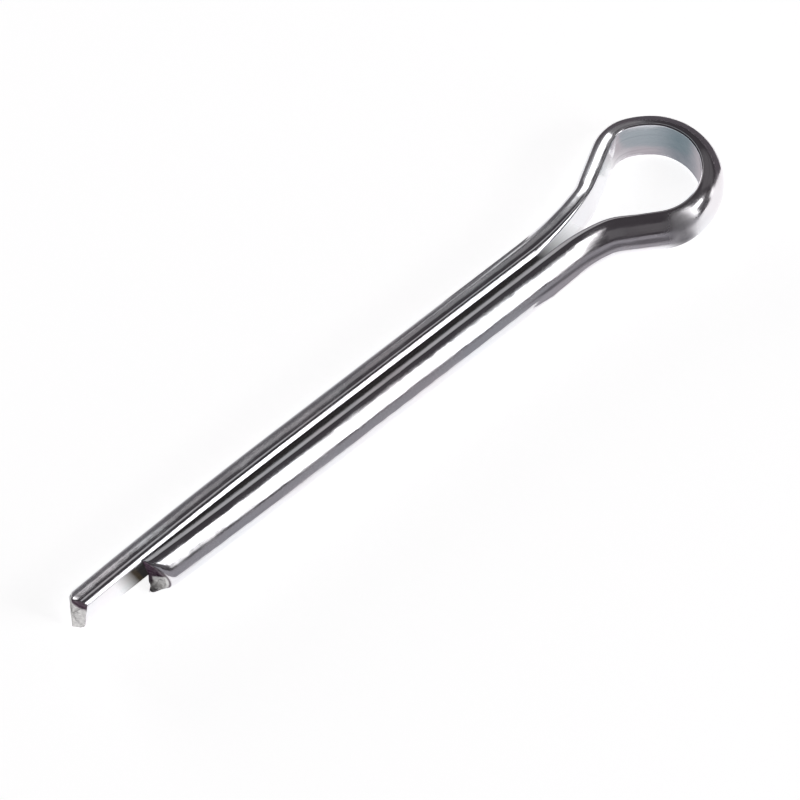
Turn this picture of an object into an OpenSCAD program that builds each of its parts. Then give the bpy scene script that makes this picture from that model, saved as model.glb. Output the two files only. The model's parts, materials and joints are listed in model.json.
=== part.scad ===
// Cotter pin with an extended prong, bent from one length of half-round wire.
// The flat face of the wire is inside: its two legs lie flat to flat, and its middle makes the eye.
// X runs along the shank towards the eye, Y across the two legs, Z along the axis of the bends.
// X = 0 is where the long leg, on the +Y side, starts to bend out of the shank.

/* [Wire] */
// Diameter over the round sides of the two legs, which is what fills the hole
shank_d = 4.4; // [4:0.05:4.8]
// Gap between the flat faces of the two legs
leg_gap = 1.15; // [0.9:0.05:1.3]

/* [Eye] */
// Inside radius of the crown, the large round end of the eye
crown_r = 3.4; // [3:0.05:4.2]
// Inside radius of the shoulder, the tight bend that the long leg leads into
shoulder_r = 1.8; // [1.3:0.05:2.3]
// Angle turned in the shoulder
shoulder_deg = 54; // [45:1:60]
// Inside radius of the roof, the flatter stretch between the shoulder and the crown
roof_r = 5.6; // [4:0.1:9]
// Angle turned in the roof
roof_deg = 13; // [8:1:20]

/* [Neck] */
// Radius of the easy bend that leads the long leg out of the shank, at its flat face
long_ease_r = 26.5; // [15:0.5:32]
// Angle of that easy bend
long_ease_deg = 13.5; // [10:0.5:15]
// Radius of the tighter bend that follows it, at its flat face
long_neck_r = 4.2; // [3:0.1:6]
// Angle of that tighter bend
long_neck_deg = 15; // [12:0.5:20]
// Radius of the easy bend that leads the short leg out of the shank, at its flat face
short_ease_r = 13.5; // [9:0.5:18]
// Angle of that easy bend
short_ease_deg = 12; // [9:0.5:15]
// Radius of the tighter bend that follows it, at its flat face
short_neck_r = 4.6; // [3:0.1:7]
// Angle of that tighter bend
short_neck_deg = 20; // [15:0.5:23]

/* [Legs] */
// Length of shank over which the two legs run straight and parallel
parallel_l = 22; // [15:0.5:30]
// Distance from the start of the neck to the end of the short leg
short_l = 35.4; // [33:0.1:60]
// How much further the flat face of the long leg reaches
prong_extra = 5; // [2:0.1:10]
// How far the end of the long leg is set in towards the other one
long_set = 0.37; // [0.1:0.01:0.4]
// How far the end of the short leg is set in
short_set = 0.14; // [0.1:0.01:0.3]

/* [Sheared ends] */
// Slant of the long leg's end, which leaves its round side short of its flat side
long_mitre_deg = 26; // [10:1:35]
// Lean of that end, which leaves its lower side longer than its upper side
long_lean_deg = 8; // [2:1:12]
// Angle between the flat face and the lead-in bevel at the long leg's tip
bevel_deg = 33; // [25:1:50]
// Depth of that bevel at the middle of the wire's width
bevel_depth = 0.42; // [0.3:0.01:0.6]
// Slant of the short leg's end
short_mitre_deg = 22; // [10:1:35]
// Lean of that end, which leaves its upper side longer than its lower side
short_lean_deg = 7; // [1:1:12]

/* [Hidden] */
$fn = 96;

shank_r = shank_d / 2;
flat_y = leg_gap / 2;
wire_h = shank_r - flat_y;
long_l = short_l + prong_extra;

// A bend is turned this much too far, then trimmed square where the next stretch starts
trim_deg = 3;
// Spare length that the slanted cut at the end of a leg takes off
cut_room = 2 * wire_h;

// Slopes of the two straight flanks of the eye, and the heading at the start of the crown
long_flank_deg = long_ease_deg + long_neck_deg;
short_flank_deg = short_ease_deg + short_neck_deg;
roof_start_deg = long_flank_deg - shoulder_deg;
crown_start_deg = roof_start_deg - roof_deg;
crown_deg = crown_start_deg + 180 + short_flank_deg;

// How far a bend of radius r moves the wire outward while its slope goes from a to b
function rise(r, a, b) = r * (cos(a) - cos(b));

// Each flank is as long as it takes to put the centre of the crown on the shank's axis
long_neck_rise = rise(long_ease_r, 0, long_ease_deg)
    + rise(long_neck_r, long_ease_deg, long_flank_deg);
shoulder_rise = rise(shoulder_r, roof_start_deg, long_flank_deg)
    + rise(roof_r, crown_start_deg, roof_start_deg);
short_neck_rise = rise(short_ease_r, 0, short_ease_deg)
    + rise(short_neck_r, short_ease_deg, short_flank_deg);
long_flank_l = (crown_r * cos(crown_start_deg) - shoulder_rise - long_neck_rise - flat_y)
    / sin(long_flank_deg);
short_flank_l = (crown_r * cos(short_flank_deg) - short_neck_rise - flat_y)
    / sin(short_flank_deg);

// The same for the way along X, which tells how far past the long one the short neck starts
function reach(r, a, b) = r * (sin(b) - sin(a));
long_reach = reach(long_ease_r, 0, long_ease_deg)
    + reach(long_neck_r, long_ease_deg, long_flank_deg)
    + long_flank_l * cos(long_flank_deg)
    + reach(shoulder_r, roof_start_deg, long_flank_deg)
    + reach(roof_r, crown_start_deg, roof_start_deg)
    - crown_r * sin(-crown_start_deg);
short_reach = reach(short_ease_r, 0, short_ease_deg)
    + reach(short_neck_r, short_ease_deg, short_flank_deg)
    + short_flank_l * cos(short_flank_deg)
    + crown_r * sin(short_flank_deg);
short_neck_x = long_reach - short_reach;

// The wire from the start of the long neck round to the short leg, one row for each stretch:
// what it does, its radius at the flat face or its length, and the angle that it turns
STRETCHES = [
    ["out", long_ease_r, long_ease_deg],
    ["out", long_neck_r, long_neck_deg],
    ["run", long_flank_l, 0],
    ["in", shoulder_r, shoulder_deg],
    ["in", roof_r, roof_deg],
    ["in", crown_r, crown_deg],
    ["run", short_flank_l, 0],
    ["out", short_neck_r, short_neck_deg],
    ["out", short_ease_r, short_ease_deg],
    ["run", short_neck_x + parallel_l, 0],
    ["end", short_l - parallel_l, short_set],
];

// Section of the wire: a segment of the shank's own circle, with its flat edge on x = 0
module section() {
    intersection() {
        translate([-flat_y, 0])
            circle(r = shank_r);
        translate([0, -shank_r])
            square([shank_r, 2 * shank_r]);
    }
}

// Every stretch starts at the origin, heads along +X and has the round side of the wire on +Y
module run(l) {
    rotate([90, 0, 90])
        linear_extrude(l)
            section();
}

// A bend to the left, of a section drawn at x = 0 with +x away from the centre of the bend
module left_turn(r, a) {
    translate([0, r, 0])
        rotate([0, 0, -90])
            rotate_extrude(angle = a)
                translate([r, 0])
                    children();
}
module past_left_turn(r, a) {
    translate([0, r, 0])
        rotate([0, 0, a])
            translate([0, -r, 0])
                children();
}
module trimmed_left_turn(r, a) {
    difference() {
        left_turn(r, a + trim_deg)
            children();
        past_left_turn(r, a)
            translate([0, -shank_d, -shank_r])
                cube([shank_d, 2 * shank_d, shank_d]);
    }
}

// The last stretch of a leg: set in by a long bow, then sheared off on a slant
module leg_end(l, set, mitre, lean) {
    bow_r = (l * l + set * set) / (2 * set);
    difference() {
        mirror([0, 1, 0])
            left_turn(bow_r, asin((l + cut_room) / bow_r))
                section();
        translate([l, -set, 0])
            rotate([0, -lean, mitre])
                translate([0, -shank_d, -shank_d])
                    cube(2 * shank_d);
    }
}

module stretch(row) {
    if (row[0] == "run")
        run(row[1]);
    if (row[0] == "out")
        trimmed_left_turn(row[1], row[2])
            mirror([1, 0])
                section();
    if (row[0] == "in")
        mirror([0, 1, 0])
            trimmed_left_turn(row[1], row[2])
                section();
    if (row[0] == "end")
        leg_end(row[1], row[2], short_mitre_deg, -short_lean_deg);
}

// Moves what follows to the end of a stretch
module after(row) {
    if (row[0] == "run")
        translate([row[1], 0, 0])
            children();
    if (row[0] == "out")
        past_left_turn(row[1], row[2])
            children();
    if (row[0] == "in")
        mirror([0, 1, 0])
            past_left_turn(row[1], row[2])
                mirror([0, 1, 0])
                    children();
}

module wire(rows, i = 0) {
    stretch(rows[i]);
    if (i + 1 < len(rows))
        after(rows[i])
            wire(rows, i + 1);
}

// The long leg, whose tip also has a bevel that starts on the flat face
module long_leg() {
    bow_l = long_l - parallel_l;
    ridge_l = bevel_depth / tan(bevel_deg) + bevel_depth * tan(long_mitre_deg);
    run(parallel_l);
    translate([parallel_l, 0, 0])
        difference() {
            leg_end(bow_l + ridge_l, long_set, long_mitre_deg, long_lean_deg);
            translate([bow_l, -long_set, -shank_r])
                rotate([0, 0, bevel_deg])
                    translate([0, -shank_d, 0])
                        cube([shank_d, shank_d, shank_d]);
        }
}

module cotter_pin() {
    color("silver")
        translate([0, flat_y, 0]) {
            mirror([1, 0, 0])
                long_leg();
            wire(STRETCHES);
        }
}

cotter_pin();
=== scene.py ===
import json
import math

import bpy
import numpy as np
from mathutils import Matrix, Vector


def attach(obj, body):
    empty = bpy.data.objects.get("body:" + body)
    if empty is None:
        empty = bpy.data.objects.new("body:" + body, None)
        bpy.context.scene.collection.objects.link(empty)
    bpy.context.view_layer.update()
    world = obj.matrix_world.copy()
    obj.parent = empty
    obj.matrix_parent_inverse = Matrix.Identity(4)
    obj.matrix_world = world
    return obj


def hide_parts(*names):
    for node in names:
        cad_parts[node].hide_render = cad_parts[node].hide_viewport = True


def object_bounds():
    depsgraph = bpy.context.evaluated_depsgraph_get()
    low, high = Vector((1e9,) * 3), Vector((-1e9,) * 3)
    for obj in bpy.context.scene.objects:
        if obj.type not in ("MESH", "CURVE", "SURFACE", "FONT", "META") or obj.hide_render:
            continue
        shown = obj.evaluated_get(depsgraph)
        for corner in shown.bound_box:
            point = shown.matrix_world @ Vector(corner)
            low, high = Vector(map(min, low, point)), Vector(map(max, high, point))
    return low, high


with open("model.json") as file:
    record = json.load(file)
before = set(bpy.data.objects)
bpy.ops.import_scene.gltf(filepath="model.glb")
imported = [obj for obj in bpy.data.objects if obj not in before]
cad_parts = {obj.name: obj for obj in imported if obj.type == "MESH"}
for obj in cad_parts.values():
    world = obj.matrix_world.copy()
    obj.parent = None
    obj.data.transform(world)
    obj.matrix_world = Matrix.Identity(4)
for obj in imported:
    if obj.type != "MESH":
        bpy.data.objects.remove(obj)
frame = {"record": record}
cad_low, cad_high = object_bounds()

# ---------------------------------------------------------------------------------------------
# The cotter pin: one length of half-round steel wire, its flat face inside.
# It is bent round formers into an eye with two S-shaped necks, and both legs are sheared off.
# Lengths are in millimetres and angles in degrees, in the part's own frame, until the mesh is made.
# ---------------------------------------------------------------------------------------------
MM = 0.001
shank_r = frame["record"]["mounts"][0]["dims"]["r_mm"]
leg_gap = 1.15
flat_y = leg_gap / 2
wire_h = shank_r - flat_y

# Legs: straight and parallel, then bowed in a little towards each other
parallel_l = 22.0
short_l = 35.4
long_l = short_l + 5.0
short_set, long_set = 0.14, 0.37

# Bends of the flat face: (radius, angle turned), in the order of the real bending
long_ease, long_neck = (26.5, 13.5), (4.2, 15)
shoulder, roof, crown_r = (1.8, 54), (5.6, 13), 3.4
short_ease, short_neck = (13.5, 12), (4.6, 20)


def rise(radius, a, b):
    """How far a bend moves the wire outward while its slope goes from a to b: r (cos a - cos b)."""
    return radius * (math.cos(math.radians(a)) - math.cos(math.radians(b)))


# The straight flanks are as long as it takes to put the crown's centre on the shank's axis
long_flank_deg = long_ease[1] + long_neck[1]
short_flank_deg = short_ease[1] + short_neck[1]
roof_start_deg = long_flank_deg - shoulder[1]
crown_start_deg = roof_start_deg - roof[1]
crown_deg = crown_start_deg + 180 + short_flank_deg
long_flank_l = (
    crown_r * math.cos(math.radians(crown_start_deg))
    - rise(shoulder[0], roof_start_deg, long_flank_deg)
    - rise(roof[0], crown_start_deg, roof_start_deg)
    - rise(long_ease[0], 0, long_ease[1])
    - rise(long_neck[0], long_ease[1], long_flank_deg)
    - flat_y
) / math.sin(math.radians(long_flank_deg))
short_flank_l = (
    crown_r * math.cos(math.radians(short_flank_deg))
    - rise(short_ease[0], 0, short_ease[1])
    - rise(short_neck[0], short_ease[1], short_flank_deg)
    - flat_y
) / math.sin(math.radians(short_flank_deg))


def arc(bend, turn):
    """A bend as (length, curvature): its length is r a, its curvature is 1/r to the left (turn 1)."""
    return bend[0] * math.radians(bend[1]), turn / bend[0]


def bow(length, inset, turn):
    """The long bow of a leg's end: an arc of radius (l^2 + i^2) / 2i, which sets it in by i."""
    radius = (length * length + inset * inset) / (2 * inset)
    return radius * math.asin(length / radius), turn / radius


# Stretches of the flat face from the long leg's tip to the short leg's end: (length, curvature)
long_bow_l = long_l - parallel_l
stretches = [
    bow(long_bow_l, long_set, -1),
    (parallel_l, 0),
    arc(long_ease, 1),
    arc(long_neck, 1),
    (long_flank_l, 0),
    arc(shoulder, -1),
    arc(roof, -1),
    arc((crown_r, crown_deg), -1),
    (short_flank_l, 0),
    arc(short_neck, 1),
    arc(short_ease, 1),
]
neck_start = sum(length for length, _ in stretches[:2])
path_step, bend_ease, overrun = 0.01, 0.3, 2.0


def carried_path(stretches):
    """The flat face's centre line: heading is the running sum of curvature, and place that of heading.

    The curvature is averaged over a length `bend_ease`, because a wire never changes its bend at once.
    The line goes on straight past both ends by `overrun`.
    """
    ends = np.cumsum([0.0] + [length for length, _ in stretches])
    s = np.arange(-overrun, ends[-1] + overrun, path_step)
    bends = np.array([0.0] + [c for _, c in stretches] + [0.0])
    bend = bends[np.searchsorted(ends, s)]
    window = np.hanning(int(round(2 * bend_ease / path_step)) + 1)
    bend = np.convolve(np.pad(bend, len(window) // 2, "edge"), window / window.sum(), "valid")
    heading = np.cumsum(bend) * path_step
    x, y = np.cumsum(np.cos(heading)) * path_step, np.cumsum(np.sin(heading)) * path_step
    return s, x, y, heading


# The last stretches of the short leg run back along X: its straight part, and its own bow
probe_s, probe_x, _, _ = carried_path(stretches)
reach_x = probe_x[-1] - probe_x[np.searchsorted(probe_s, neck_start)] + overrun
stretches.append((parallel_l + reach_x, 0))
stretches.append(bow(short_l - parallel_l, short_set, -1))
wire_l = sum(length for length, _ in stretches)
eye_end = wire_l - stretches[-1][0] - stretches[-2][0]
path_s, path_x, path_y, path_heading = carried_path(stretches)

# The path is laid so that the middle of the long leg's straight run is on its own flat, along X
middle = np.searchsorted(path_s, neck_start - parallel_l / 2)
swing = path_heading[middle]
turned_x = path_x * math.cos(swing) + path_y * math.sin(swing)
turned_y = path_y * math.cos(swing) - path_x * math.sin(swing)
path_heading = path_heading - swing
path_x = turned_x - turned_x[middle] - parallel_l / 2
path_y = turned_y - turned_y[middle] + flat_y


def on_wire(s, out, up):
    """A point of the wire: s along its flat face, `out` from it towards the round side, `up` in Z.

    It is path(s) + out * left-hand normal(s) + up * Z.
    """
    heading = np.interp(s, path_s, path_heading)
    x = np.interp(s, path_s, path_x) - out * np.sin(heading)
    y = np.interp(s, path_s, path_y) + out * np.cos(heading)
    return np.stack([x, y, up + 0 * x], axis=-1)


# Section of the wire: a segment of the shank's circle, a hair inside its gauge, whose edges the rolling
# has worked. Each pair is the radius of the outline up to an angle of its normal, counted from the middle
# of the round side (0) over an edge (90) to the flat (180). The wire's edges are crisp, except that a
# broad rounded facet runs along the upper edge of both legs. It is narrower at the long leg's tip.
hair = 0.006
round_r = shank_r - hair
crisp_edge = [(round_r, 69), (0.30, 75), (0.13, 180)]
tip_top_edge = [(round_r, 73.2), (0.50, 122), (0.85, 136), (0.12, 180)]
long_top_edge = [(round_r, 74.2), (0.29, 119), (1.12, 136), (0.12, 180)]
short_top_edge = [(round_r, 72), (0.10, 87), (1.40, 96), (0.13, 180)]
back_deg, back_n, edge_n, flat_n = 60, 26, 41, 12


def edge_outline(pairs):
    """Half a section as (out, up), from the radius r of its outline at each angle m of its normal.

    Going round from m0 to m moves the outline by r (sin m - sin m0) up and r (cos m - cos m0) outward.
    """
    back, edge = np.linspace(0, back_deg, back_n)[:-1], np.linspace(back_deg, 180, edge_n)
    m = np.radians(np.concatenate([back, edge]))
    out, up, start = round_r - flat_y + 0 * m, 0 * m, 0.0
    for radius, end in pairs:
        end = math.radians(end)
        turned = np.clip(m, start, end)
        out = out + radius * (np.cos(turned) - math.cos(start))
        up = up + radius * (np.sin(turned) - math.sin(start))
        start = end
    return out, up


def section(upper, lower):
    """A whole section: its upper half, then its lower half, joined by a straight flat."""
    top, bottom = edge_outline(upper), edge_outline(lower)
    t = np.linspace(0, 1, flat_n + 2)[1:-1]
    flat_out = bottom[0][-1] + t * (top[0][-1] - bottom[0][-1])
    flat_up = -bottom[1][-1] + t * (top[1][-1] + bottom[1][-1])
    out = np.concatenate([flat_out, top[0][::-1], bottom[0][1:]])
    up = np.concatenate([flat_up, top[1][::-1], -bottom[1][1:]])
    return out, up


tip_out, tip_up = section(tip_top_edge, crisp_edge)
long_out, long_up = section(long_top_edge, crisp_edge)
eye_out, eye_up = section(crisp_edge, crisp_edge)
short_out, short_up = section(short_top_edge, crisp_edge)
profile_n = len(long_out)
facet_past, facet_fade = 0.5, 6.0


def wire_section(s):
    """The section at each path length: the tip's, long leg's, eye's or short leg's, or between two.

    The legs' facets run past the start of the necks by `facet_past` and fade out over `facet_fade`.
    """
    where = [neck_start + facet_past, neck_start + facet_past + facet_fade,
             eye_end + facet_past - facet_fade, eye_end + facet_past]
    long_share = np.interp(s, where, [1, 0, 0, 0])[:, None]
    short_share = np.interp(s, where, [0, 0, 0, 1])[:, None]
    tip_share = np.interp(s, [0, neck_start - facet_fade], [1, 0])[:, None]
    out = eye_out + long_share * (long_out - eye_out) + short_share * (short_out - eye_out)
    up = eye_up + long_share * (long_up - eye_up) + short_share * (short_up - eye_up)
    out = out + tip_share * (tip_out - long_out)
    up = up + tip_share * (tip_up - long_up)
    return out, up


# The sheared ends: a slanted cut on each leg, and on the long one a lead-in bevel, which goes from
# near the end of the flat, where it leans a little, up to a ridge
long_mitre, ridge_out, ridge_s, ridge_soft = 32, 0.55, -0.83, 0.05
bevel_s, bevel_lean = -0.27, -0.08
short_mitre, short_lean = 22, -7
edge_rings, face_rings, centre_share = 9, 12, 0.05


def cut_back(out, up, mitre, lean):
    """How far a slanted cut lies behind the full length: out tan(mitre) + up tan(lean) / cos(mitre)."""
    mitre, lean = math.radians(mitre), math.radians(lean)
    return out * math.tan(mitre) + up * math.tan(lean) / math.cos(mitre)


def long_cut(out, up):
    """Path length at which the long leg starts: the larger of its slanted cut a and its bevel b.

    The bevel runs in a straight line from the end of the flat to the ridge, and the cut falls back
    behind the ridge by (out - ridge_out) tan(mitre). They meet in a soft ridge, which is
    (a + b + sqrt((a - b)^2 + ridge_soft^2)) / 2.
    """
    turned = math.degrees(2 * long_set / long_bow_l)
    shear = ridge_s + cut_back(out - ridge_out, 0 * up, long_mitre + turned, 0)
    flat_out = np.interp(up, tip_up[:flat_n], tip_out[:flat_n])
    flat_s = bevel_s + bevel_lean * up
    lead_in = flat_s + (ridge_s - flat_s) * (out - flat_out) / (ridge_out - flat_out)
    return (shear + lead_in + np.sqrt((shear - lead_in) ** 2 + ridge_soft**2)) / 2


def short_cut(out, up):
    """Path length at which the short leg ends, on its slanted cut."""
    turned = math.degrees(2 * short_set / (short_l - parallel_l))
    return wire_l - cut_back(out, up, short_mitre + turned, short_lean)


def near_point(out, up, at_out, at_up, reach):
    """Bell of height 1 and radius `reach` round one point of the section: exp(-distance^2 / reach^2)."""
    return np.exp(-((out - at_out) ** 2 + (up - at_up) ** 2) / reach**2)


def sheared_end(cut, outline, sign, roll, burr):
    """Rings (s, out, up) from a leg's side over its rounded edge to the middle of the sheared face.

    Over the edge a ring moves inward by r (1 - cos t), stands back from the cut by r (1 - sin t), and
    carries the burr, a thin ridge b sin(2t)^2 that the shear dragged out of the edge.
    """
    rim_out, rim_up = outline
    t = np.linspace(0, math.pi / 2, edge_rings)[:, None]
    inward = roll * (1 - np.cos(t))
    back = roll * (1 - np.sin(t)) - burr * np.sin(2 * t) ** 2
    middle_out, middle_up = 0.5 * rim_out.max() + 0.5 * rim_out.min(), 0.0
    share = 1 - inward / np.hypot(rim_out - middle_out, rim_up - middle_up)
    inner = share[-1] * np.linspace(1, centre_share, face_rings)[1:, None]
    share = np.concatenate([share, inner])
    back = np.concatenate([back, np.zeros((face_rings - 1, profile_n))])
    out = middle_out + share * (rim_out - middle_out)
    up = middle_up + share * (rim_up - middle_up)
    return cut(out, up) - sign * back, out, up


# The shear rolled the round edge over and left a ragged burr where it came out, low on the flat side
ragged = np.random.default_rng(7)


def rag(size, smooth):
    """Seeded noise round the rim, averaged over `smooth` neighbours, between about -1 and 1."""
    noise = ragged.normal(0, 1, size + smooth - 1)
    return np.convolve(noise, np.hanning(smooth + 2)[1:-1], "valid") / math.sqrt(smooth / 2.6)


long_edge_r, long_roll_r, long_burr_h = 0.06, 0.24, 0.03
long_roll = long_edge_r + long_roll_r * np.clip(tip_out / wire_h, 0, 1)
long_burr = long_burr_h * np.clip(1 + rag(profile_n, 5), 0, 2) * (tip_up < 0.4)
short_edge_r, short_roll_r = 0.09, 0.48
burr_h, burr_out, burr_up, burr_reach, flat_burr_h = 0.50, 0.30, -2.02, 0.34, 0.12
short_roll = short_edge_r + short_roll_r * np.clip(short_out / wire_h * 1.9, 0, 1)
burr_share = near_point(short_out, short_up, burr_out, burr_up, burr_reach)
short_burr = (
    burr_h * burr_share * (1 + 0.10 * rag(profile_n, 6))
    + flat_burr_h * np.clip(-short_up, 0, 1) * (short_out < 0.1) * (1 + 0.4 * rag(profile_n, 5))
)
start_s, start_out, start_up = sheared_end(long_cut, (tip_out, tip_up), -1, long_roll, long_burr)
end_s, end_out, end_up = sheared_end(short_cut, (short_out, short_up), 1, short_roll, short_burr)

# The broken part of each sheared face is torn and a little hollow, the rest was burnished by the blade
# and is coloured with a painted dark reflection. On the long leg the torn part is the part under a line
# near its top, on the short leg what lies away from the flat and under a slanted line.
long_torn_top, short_torn_out, short_torn_slope = 1.15, 0.12, 0.84
under_top = long_torn_top + 0.8 * np.clip(start_out - 0.1, 0, 1) - start_up
off_flat = end_out - short_torn_out + 0.4 * np.clip(-end_up - 0.9, 0, 1)
under_slant = short_torn_slope * (end_out - 0.1) - end_up
start_torn = np.clip(under_top / 0.3, 0, 1)
end_torn = np.clip(off_flat / 0.15, 0, 1) * np.clip(under_slant / 0.2, 0, 1)
whole_rings, hollow, crumble = 6, 0.03, 0.02
for face_s, torn, sign in ((start_s, start_torn, -1), (end_s, end_torn, 1)):
    torn[:whole_rings] = 0
    crumbs = ragged.normal(0, 1, face_s[edge_rings:].shape)
    face_s[edge_rings:] -= sign * torn[edge_rings:] * (hollow + crumble * crumbs)

# Rings between the ends: square to the wire and evenly spaced, and near each end ever more slanted
slant_l, slant_n, ring_step = 3.0, 12, 0.24
inner_s = np.arange(slant_l, wire_l - slant_l, ring_step)
fade = np.linspace(0, 1, slant_n)[:, None]
lead = start_s[0] + fade[1:-1] * (inner_s[0] - start_s[0])
tail = inner_s[-1] + fade[1:-1] * (end_s[0] - inner_s[-1])
side_s = np.concatenate([lead, np.repeat(inner_s[:, None], profile_n, axis=1), tail])
side_out, side_up = wire_section(side_s.mean(axis=1))
ring_s = np.concatenate([start_s[::-1], side_s, end_s])
ring_out = np.concatenate([start_out[::-1], side_out, end_out])
ring_up = np.concatenate([start_up[::-1], side_up, end_up])
ring_n = len(ring_s)

points = on_wire(ring_s, ring_out, ring_up).reshape(-1, 3)
poles = on_wire(
    np.array([ring_s[0].mean(), ring_s[-1].mean()]),
    np.array([ring_out[0].mean(), ring_out[-1].mean()]),
    np.array([0.0, 0.0]),
)
points = np.concatenate([points, poles]) * MM

# Four-sided faces between neighbouring rings, and a fan of triangles on each sheared face
ring = np.arange(ring_n - 1)[:, None] * profile_n
here = np.arange(profile_n)[None, :]
after = (here + 1) % profile_n
quads = np.stack([ring + here, ring + profile_n + here, ring + profile_n + after, ring + after], -1)
quads = quads.reshape(-1, 4)
first, last = ring_n * profile_n, ring_n * profile_n + 1
last_ring = (ring_n - 1) * profile_n
start_fan = np.stack([np.full(profile_n, first), here[0], after[0]], -1)
end_fan = np.stack([np.full(profile_n, last), last_ring + after[0], last_ring + here[0]], -1)

pin_mesh = bpy.data.meshes.new("bent_wire")
pin_mesh.from_pydata(points.tolist(), [], quads.tolist() + start_fan.tolist() + end_fan.tolist())
pin_mesh.shade_smooth()
pin = bpy.data.objects.new("bent_wire", pin_mesh)
bpy.context.scene.collection.objects.link(pin)

# Place on the wire for the finish: distance along it, distance round its section, both in mm
around = np.cumsum(np.hypot(np.diff(ring_out, axis=1, append=ring_out[:, :1]),
                            np.diff(ring_up, axis=1, append=ring_up[:, :1])), axis=1)
place = np.stack([ring_s, around, 0 * ring_s], -1).reshape(-1, 3)
place = np.concatenate([place, [[ring_s[0].mean(), 0, 0], [ring_s[-1].mean(), 0, 0]]])
wire_place = pin_mesh.attributes.new("wire_place", "FLOAT_VECTOR", "POINT")
wire_place.data.foreach_set("vector", place.astype(np.float32).reshape(-1))

# How much of a vertex is sheared steel, how much of that is torn, where the round side of the crown is
# scuffed and carries painted shade round its highlight, and where painted shade darkens the flat inside
# it: 0 on the rest
crown_end = sum(length for length, _ in stretches[:8])
scuff_s, scuff_reach = crown_end - 1.08, 0.66
inner_shade_s, inner_shade_reach = crown_end - 7.8, 1.7
plated_rings = 5
# Scuff on the crown's round side: rougher, and its darker grey is painted shade round the crown's
# highlight
scuffed_and_shaded = np.exp(-(((ring_s - scuff_s) / scuff_reach) ** 2)) * np.clip(1.4 * ring_out, 0, 1)
# Painted shade: a bluish darkening of the flat inside the crown
painted_inner_shade = np.exp(-(((ring_s - inner_shade_s) / inner_shade_reach) ** 2)) * np.clip(1 - 3 * ring_out, 0, 1)
sheared, torn = np.zeros((ring_n, profile_n)), np.zeros((ring_n, profile_n))
sheared[: len(start_s) - plated_rings] = 1
sheared[-(len(end_s) - plated_rings):] = 1
torn[: len(start_s)] = start_torn[::-1]
torn[-len(end_s):] = end_torn
for name, values, ends in (
    ("sheared", sheared, [1, 1]),
    ("torn", torn, [1, 0.4]),
    ("scuffed_and_shaded", scuffed_and_shaded, [0, 0]),
    ("painted_inner_shade", painted_inner_shade, [0, 0]),
):
    values = np.append(values.reshape(-1), ends).astype(np.float32)
    pin_mesh.attributes.new(name, "FLOAT", "POINT").data.foreach_set("value", values)

# The finish: bright zinc plate on drawn wire. Its clear passivation is faintly blue, with a breath of
# purple; drawing lines run along the wire, and the torn parts of the sheared faces are matte, while the
# burnished parts carry a painted dark reflection. The crown has a dull scuff on its round side, whose
# darker grey is painted shade, and painted bluish shade on its flat.
blue_zinc, purple_zinc, line_grey = (0.87, 0.885, 0.915), (0.905, 0.87, 0.90), (0.63, 0.62, 0.65)
# Painted shade colours: grey round the crown's highlight, and bluish on the crown's inner flat
scuff_shade_grey, inner_shade_blue = (0.40, 0.39, 0.41), (0.34, 0.43, 0.47)
# Painted dark reflection on the burnished parts of the sheared faces, also at a glance
burnish_dark_reflection, burnish_light_reflection = (0.09, 0.075, 0.085), (0.18, 0.155, 0.17)
burnish_glance_shade = (0.30, 0.26, 0.30)
dark_break, light_break = (0.58, 0.57, 0.57), (0.80, 0.79, 0.78)
zinc = bpy.data.materials.new("bright_zinc")
zinc.use_nodes = True
nodes, links = zinc.node_tree.nodes, zinc.node_tree.links
nodes.clear()
shader = nodes.new("ShaderNodeBsdfPrincipled")
shader.inputs["Metallic"].default_value = 1.0
output = nodes.new("ShaderNodeOutputMaterial")
links.new(shader.outputs["BSDF"], output.inputs["Surface"])


def named(name, socket):
    """A value stored on the mesh."""
    node = nodes.new("ShaderNodeAttribute")
    node.attribute_name = name
    return node.outputs[socket]


def noise(vector, stretch, detail):
    """Fractal noise of a place: `stretch` is the number of its waves in a unit of each axis."""
    mapping = nodes.new("ShaderNodeMapping")
    mapping.inputs["Scale"].default_value = stretch
    links.new(vector, mapping.inputs["Vector"])
    node = nodes.new("ShaderNodeTexNoise")
    node.inputs["Scale"].default_value = 1.0
    node.inputs["Detail"].default_value = detail
    node.inputs["Roughness"].default_value = 0.5
    links.new(mapping.outputs["Vector"], node.inputs["Vector"])
    return node.outputs["Fac"]


def ramp(value, low, high, to_low, to_high):
    """A value moved in a straight line from the range low..high to to_low..to_high, and held there."""
    node = nodes.new("ShaderNodeMapRange")
    for name, number in (("From Min", low), ("From Max", high), ("To Min", to_low), ("To Max", to_high)):
        node.inputs[name].default_value = number
    links.new(value, node.inputs["Value"])
    return node.outputs["Result"]


def joined(a, b, operation="ADD"):
    """Two values joined: added, or as `operation` says."""
    node = nodes.new("ShaderNodeMath")
    node.operation = operation
    links.new(a, node.inputs[0])
    links.new(b, node.inputs[1])
    return node.outputs[0]


def blend(amount, first, second):
    """The first colour where the amount is 0 and the second where it is 1; a colour may be a socket."""
    node = nodes.new("ShaderNodeMix")
    node.data_type = "RGBA"
    links.new(amount, node.inputs["Factor"])
    for colour, socket in ((first, node.inputs[6]), (second, node.inputs[7])):
        if isinstance(colour, tuple):
            socket.default_value = (*colour, 1)
        else:
            links.new(colour, socket)
    return node.outputs[2]


in_place = nodes.new("ShaderNodeTexCoord").outputs["Object"]
on_place = named("wire_place", "Vector")
drawing_lines = noise(on_place, (0.05, 5.0, 1.0), 3.0)
dents = noise(on_place, (0.55, 0.9, 1.0), 2.0)
tint = noise(in_place, (190, 260, 260), 2.0)
bloom = noise(in_place, (420, 700, 700), 4.0)
grain = noise(in_place, (3800, 3800, 3800), 3.0)

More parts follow.
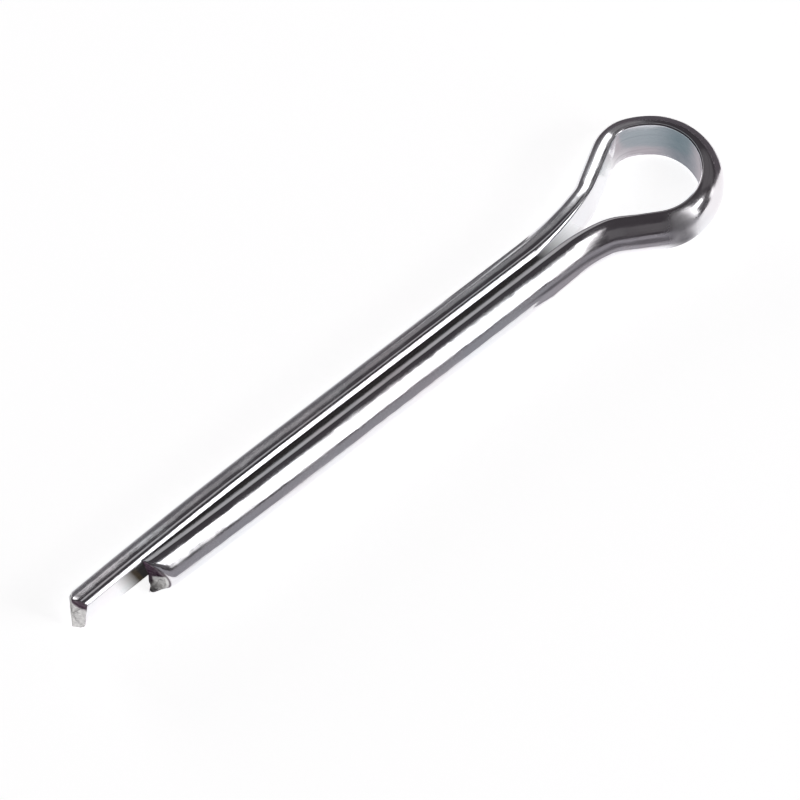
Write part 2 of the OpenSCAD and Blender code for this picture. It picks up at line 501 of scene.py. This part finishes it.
plate = blend(ramp(tint, 0.36, 0.66, 0, 1), blue_zinc, purple_zinc)
plate = blend(ramp(drawing_lines, 0.42, 0.30, 0, 0.55), plate, line_grey)
# Painted dark reflection on the burnished parts of the sheared faces
burnished_reflection = blend(ramp(grain, 0.35, 0.65, 0, 1), burnish_dark_reflection, burnish_light_reflection)
broken = blend(ramp(grain, 0.35, 0.65, 0, 1), dark_break, light_break)
face = blend(named("torn", "Fac"), burnished_reflection, broken)
# Scuff: rougher, and its grey is painted shade round the crown's highlight
scuff_and_shade = joined(named("scuffed_and_shaded", "Fac"), ramp(bloom, 0.30, 0.60, 0.55, 1.0), "MULTIPLY")
plate = blend(scuff_and_shade, plate, scuff_shade_grey)
# Painted shade: bluish darkening on the flat inside the crown
inner_shade_share = joined(named("painted_inner_shade", "Fac"), ramp(bloom, 0.25, 0.60, 0.75, 1.0), "MULTIPLY")
plate = blend(inner_shade_share, plate, inner_shade_blue)
links.new(blend(named("sheared", "Fac"), plate, face), shader.inputs["Base Color"])

gloss = joined(ramp(bloom, 0.40, 0.75, 0.12, 0.25), ramp(drawing_lines, 0.55, 0.75, 0, 0.10))
gloss = joined(gloss, ramp(named("sheared", "Fac"), 0, 1, 0, 0.12))
gloss = joined(gloss, ramp(named("torn", "Fac"), 0, 1, 0, 0.22))
links.new(joined(gloss, ramp(scuff_and_shade, 0, 1, 0, 0.38)), shader.inputs["Roughness"])

# Painted dark reflection: the burnished bands' specular tint keeps them dark at a glancing view too
band = joined(named("sheared", "Fac"), named("torn", "Fac"), "SUBTRACT")
links.new(blend(band, (1.0, 1.0, 1.0), burnish_glance_shade), shader.inputs["Specular Tint"])

# Relief in mm: shallow dents from handling, drawing lines, and the grain of the broken steel
relief = joined(ramp(dents, 0, 1, 0, 0.018), ramp(drawing_lines, 0, 1, 0, 0.0022))
rough = joined(named("torn", "Fac"), ramp(grain, 0, 1, 0, 0.05), "MULTIPLY")
bump = nodes.new("ShaderNodeBump")
bump.inputs["Strength"].default_value = 1.0
bump.inputs["Distance"].default_value = MM
links.new(joined(relief, rough), bump.inputs["Height"])
links.new(bump.outputs["Normal"], shader.inputs["Normal"])
pin_mesh.materials.append(zinc)

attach(pin, "root")
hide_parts("cotter_pin")

# ---------------------------------------------------------------------------------------------
# The studio: a white sweep under the pin, soft lamps around it, and dull cards close by; some cards are
# painted shadow and shade of the sweep near the pin.
# Bright metal has no look of its own: it shows the lamps, the gaps between them, and the cards.
# The sweep and the lamps are measured in metres, the cards in millimetres.
# ---------------------------------------------------------------------------------------------
floor_half = 3.0
floor_z = cad_low.z
paper_white, paper_glow = (0.9, 0.9, 0.9), 0.85
floor_mesh = bpy.data.meshes.new("floor")
floor_mesh.from_pydata(
    [(-floor_half, -floor_half, floor_z), (floor_half, -floor_half, floor_z),
     (floor_half, floor_half, floor_z), (-floor_half, floor_half, floor_z)],
    [], [(0, 1, 2, 3)],
)
floor = bpy.data.objects.new("floor", floor_mesh)
bpy.context.scene.collection.objects.link(floor)
sweep = bpy.data.materials.new("white_sweep")
sweep.use_nodes = True
nodes, links = sweep.node_tree.nodes, sweep.node_tree.links
nodes.clear()
paper = nodes.new("ShaderNodeBsdfDiffuse")
paper.inputs["Color"].default_value = (*paper_white, 1)
glow = nodes.new("ShaderNodeEmission")
seen = nodes.new("ShaderNodeLightPath").outputs
shown = joined(seen["Is Camera Ray"], seen["Is Glossy Ray"], "MAXIMUM")
shown = joined(shown, seen["Is Transmission Ray"], "MAXIMUM")
links.new(ramp(shown, 0, 1, 0, paper_glow), glow.inputs["Strength"])
both = nodes.new("ShaderNodeAddShader")
links.new(paper.outputs["BSDF"], both.inputs[0])
links.new(glow.outputs["Emission"], both.inputs[1])
output = nodes.new("ShaderNodeOutputMaterial")
links.new(both.outputs["Shader"], output.inputs["Surface"])
floor_mesh.materials.append(sweep)

# The dim room around it
world = bpy.data.worlds.new("world")
world.use_nodes = True
room = world.node_tree.nodes["Background"].inputs
room["Color"].default_value = (1.0, 0.90, 1.0, 1)
room["Strength"].default_value = 0.045
bpy.context.scene.world = world

lamp_distance = 0.8


def soft_lamp(name, azimuth, polar, width, height, radiance):
    """A flat lamp that faces the pin: `azimuth` from +X towards +Y, `polar` down from the zenith.

    Its power is radiance * area * pi, as for a flat card that shines evenly.
    """
    data = bpy.data.lights.new(name, "AREA")
    data.shape, data.size, data.size_y = "RECTANGLE", width, height
    data.energy = radiance * width * height * math.pi
    lamp = bpy.data.objects.new(name, data)
    azimuth, polar = math.radians(azimuth), math.radians(polar)
    away = Vector((
        math.cos(azimuth) * math.sin(polar), math.sin(azimuth) * math.sin(polar), math.cos(polar)
    ))
    lamp.location = away * lamp_distance
    lamp.rotation_euler = away.to_track_quat("Z", "Y").to_euler()
    bpy.context.scene.collection.objects.link(lamp)


# Main lamp: long, low on the short leg's side; it makes the broad white streak along that leg
soft_lamp("main_lamp", -68.5, 60, 0.14, 0.66, 2.3)
# A spot next to it, which leaves one round highlight on the crown of the eye
soft_lamp("crown_lamp", -54.5, 58, 0.21, 0.125, 4.0)
# Far lamp: small, on the long leg's side; it lights the outside of the long neck
soft_lamp("far_lamp", 90, 78, 0.35, 0.345, 2.0)
# A small one low beyond the eye, which edges the crown under its highlight
soft_lamp("eye_lamp", -34, 84.5, 0.17, 0.17, 1.2)
# Dim ones that lift the dark of the short leg's neck and of the crown's top
soft_lamp("neck_lamp", -103, 62, 0.42, 0.46, 0.06)
soft_lamp("side_lamp", -8, 62, 0.5, 0.5, 0.055)
# Two more, overhead and low on the far side, which put grey streaks on the two legs
soft_lamp("top_lamp", 52, 32, 0.34, 0.32, 0.35)
soft_lamp("back_lamp", 68, 80.5, 0.5, 0.26, 0.15)


card_step = 0.01


def lying_card(name, corners, radiance, fade=None, layer=1):
    """A dull card that lies on the sweep and is seen by the metal alone; a higher layer covers a lower.

    With `fade` = (axis, from, to) it goes in a straight line from white to its own tone along an axis.
    """
    card_mesh = bpy.data.meshes.new(name)
    level = floor_z + layer * card_step * MM
    points = [(x * MM, y * MM, level) for x, y in corners]
    card_mesh.from_pydata(points, [], [tuple(range(len(points)))])
    card = bpy.data.objects.new(name, card_mesh)
    bpy.context.scene.collection.objects.link(card)
    card.visible_camera = False
    card.visible_diffuse = False
    card.visible_shadow = False
    dull = bpy.data.materials.new(name)
    dull.use_nodes = True
    nodes, links = dull.node_tree.nodes, dull.node_tree.links
    nodes.clear()
    shine = nodes.new("ShaderNodeEmission")
    shine.inputs["Color"].default_value = (*radiance, 1)
    if fade:
        place = nodes.new("ShaderNodeTexCoord").outputs["Object"]
        split = nodes.new("ShaderNodeSeparateXYZ")
        links.new(place, split.inputs[0])
        share = nodes.new("ShaderNodeMapRange")
        share.inputs["From Min"].default_value = fade[1] * MM
        share.inputs["From Max"].default_value = fade[2] * MM
        links.new(split.outputs[fade[0]], share.inputs["Value"])
        mix = nodes.new("ShaderNodeMix")
        mix.data_type = "RGBA"
        mix.inputs[6].default_value = (1, 1, 1, 1)
        mix.inputs[7].default_value = (*radiance, 1)
        links.new(share.outputs["Result"], mix.inputs["Factor"])
        links.new(mix.outputs[2], shine.inputs["Color"])
    result = nodes.new("ShaderNodeOutputMaterial")
    links.new(shine.outputs["Emission"], result.inputs["Surface"])
    card_mesh.materials.append(dull)


# Beside the short leg, a grey one
near_corners = [(-900, -900), (-60, -900), (520, -740), (7, -8.6), (3, -5.6), (-900, -5.6)]
lying_card("near_card", near_corners, (0.27, 0.265, 0.285))

# Beside the long leg, a darker one with a white gap for the long neck, and a slow end towards the leg
far_tone = (0.122, 0.117, 0.126)
lying_card("far_card", [(-900, 8), (3.2, 8.2), (6.2, 9), (520, 900), (-900, 900)], far_tone)
lying_card("far_gap", [(3.5, 14), (3.5, 60), (9, 60), (6, 14)], (1.0, 1.0, 1.0), layer=2)
lying_card("far_fade", [(-60, 3), (-6, 3), (-3, 8), (-60, 8)], far_tone, ("Y", 3.0, 7.6))
lying_card("far_shade", [(-6, 3), (2.4, 3), (3.2, 8.2), (-3, 8)], far_tone, ("Y", 2.2, 5.0))

# Painted shadow: the pin's contact shadow on the sweep, as the metal sees it; between the legs nearly
# black, with a slow end in the throat of the eye and past the short leg
gap_shadow_tone = (0.026, 0.024, 0.024)
shade_corners = [(-35.0, -1.4), (-3, -1.6), (1.8, -1.2), (1.8, 1.4), (-3, 1.6), (-35.0, 0.9)]
throat_shadow_corners = [(1.8, -1.2), (5.8, -1.2), (5.8, 1.4), (1.8, 1.4)]
end_shadow_corners = [(-36.9, -1.7), (-35.0, -1.4), (-35.0, 0.9), (-36.9, 0.9)]
lying_card("shade_card", shade_corners, gap_shadow_tone)
lying_card("throat_shadow_card", throat_shadow_corners, gap_shadow_tone, ("X", 5.8, 1.8))
lying_card("end_shadow_card", end_shadow_corners, (0.05, 0.04, 0.028), ("X", -36.8, -35.3))

# Painted shadow along the outside of the short leg's neck, as the metal sees it: a dark card and a paler
# rim
neck_shadow_corners = [(8, -7.5), (9, -9), (5, -14), (1, -14), (1.5, -8), (4.5, -6.4)]
rim_shadow_corners = [(0.5, -2.7), (4, -3.8), (8, -5.4), (11, -5.6), (10.5, -8), (8, -7.5),
               (4.5, -6.4), (1, -7), (-1, -4)]
lying_card("neck_shadow_card", neck_shadow_corners, (0.12, 0.115, 0.125), layer=2)
lying_card("rim_half_shadow_card", rim_shadow_corners, (0.33, 0.32, 0.34), layer=3)

# Inside the eye, a bluish one, painted shade of the sweep inside the eye as the metal sees it, and round
# its outer rim a paler one that the foot of the roof mirrors
eye_rim = [(11.2, 2.75), (12.6, 2.0), (13.3, 0.9), (13.4, -0.2), (13.35, -0.9), (12.9, -1.7)]
eye_shade_corners = [(9.9, 2.7), *eye_rim, (12.2, -1.2), (12.3, -0.3), (11.6, 0.6), (10.9, 1.0), (10.35, 1.2)]
foot_corners = [(10.4, 2.7), (10.4, 3.4), (11.3, 3.45), (13.1, 2.6), (14.1, 1.0), (14.2, -0.4),
                (13.6, -1.9), *reversed(eye_rim)]
lying_card("eye_shade_card", eye_shade_corners, (0.37, 0.405, 0.43), ("X", 9.7, 10.8))
lying_card("foot_card", foot_corners, (0.50, 0.465, 0.49), ("X", 10.4, 11.8))

# Beyond the eye, a dark one
dark_corners = [(6, 9), (12, 8.6), (18, 5), (19.4, -0.8), (18.8, -2.4),
                (900, -400), (900, 900), (520, 900)]
lying_card("dark_card", dark_corners, (0.09, 0.08, 0.09))

# The camera looks down on the pin through a long lens, from as far as it takes to see `view_width`
camera_elevation = math.radians(60)
camera_turn = math.radians(41.44)
camera_aim = Vector((-13.52, -1.47, 0)) * MM
view_width = 54.496 * MM
camera_data = bpy.data.cameras.new("camera")
camera_data.lens = 1200
camera_data.clip_start = 0.01
camera_data.clip_end = 20
camera_far = view_width / camera_data.sensor_width * camera_data.lens
camera = bpy.data.objects.new("camera", camera_data)
bpy.context.scene.collection.objects.link(camera)
bpy.context.scene.camera = camera
back = Vector((
    -math.sin(camera_turn) * math.cos(camera_elevation),
    -math.cos(camera_turn) * math.cos(camera_elevation),
    math.sin(camera_elevation),
))
camera.location = camera_aim + back * camera_far
camera.rotation_euler = back.to_track_quat("Z", "Y").to_euler()
bpy.context.scene.view_settings.view_transform = "Standard"
